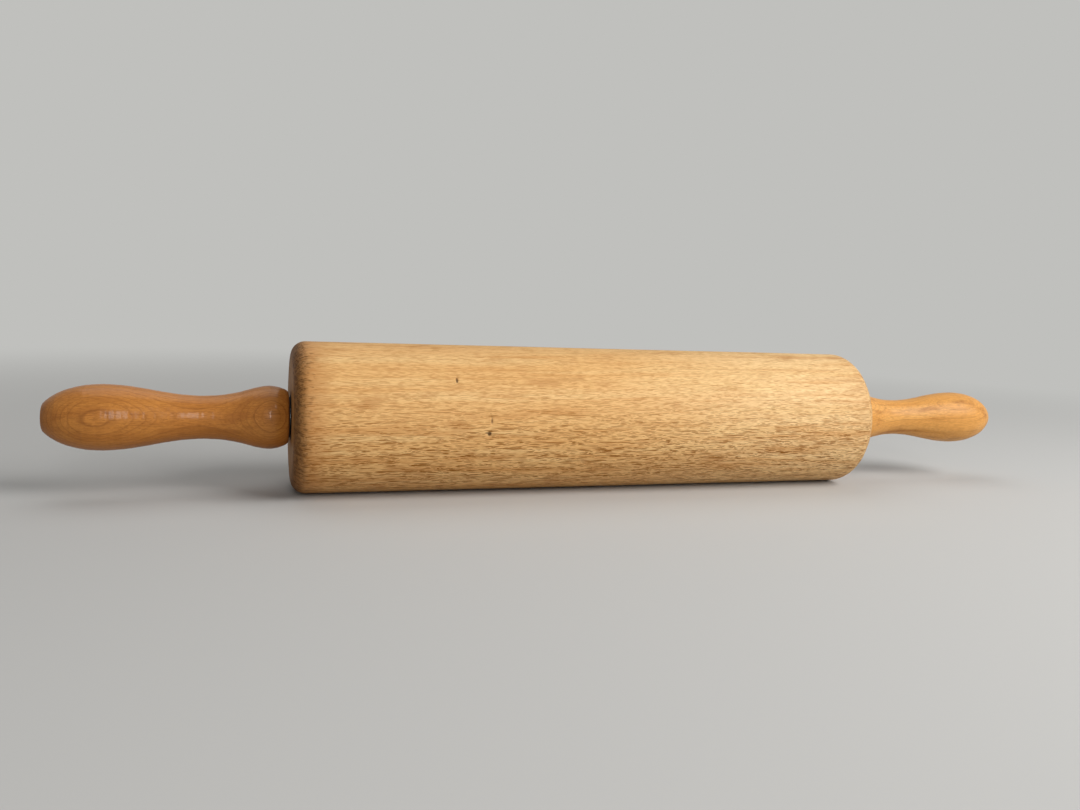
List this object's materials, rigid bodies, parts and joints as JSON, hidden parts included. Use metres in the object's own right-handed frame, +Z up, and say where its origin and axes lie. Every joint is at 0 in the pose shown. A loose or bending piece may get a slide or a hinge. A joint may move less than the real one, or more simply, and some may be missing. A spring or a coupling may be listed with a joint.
{
  "type": "rolling pin",
  "caption": "Revolving rolling pin: a plain cylindrical beech roller turns on a steel axle, with a waisted, round-ended turned wooden handle fixed to each end of the axle.",
  "frame": {"origin": "middle of the roller, on the axle's centre line", "axes": "+X along the axle, +Z up; the part is symmetric end to end and round about X"},
  "size_m": [0.4266, 0.06, 0.06],
  "materials": {
    "roller_beech": "bare beech, turned and sanded, worn by use",
    "handle_beech": "beech under amber varnish, glossy",
    "plug_beech": "beech end plug, varnished with the handle",
    "axle_steel": "bright drawn steel rod",
    "zinc_steel": "zinc-plated steel",
    "bearing_polyamide": "moulded polyamide, black"
  },
  "bodies": {
    "handles_and_axle": {"axle": "axle_steel", "left_thrust_washer": "bearing_polyamide", "right_thrust_washer": "bearing_polyamide", "left_handle": "handle_beech", "right_handle": "handle_beech", "left_screw_washer": "zinc_steel", "right_screw_washer": "zinc_steel", "left_handle_screw": "zinc_steel", "right_handle_screw": "zinc_steel", "left_end_plug": "plug_beech", "right_end_plug": "plug_beech"},
    "roller": {"roller": "roller_beech", "left_bearing_bush": "bearing_polyamide", "right_bearing_bush": "bearing_polyamide"}
  },
  "joints": [
    {"name": "roller_spin", "type": "hinge", "parent": "handles_and_axle", "child": "roller", "pos_m": [0, 0, 0], "axis": [1, 0, 0], "continuous": true}
  ]
}
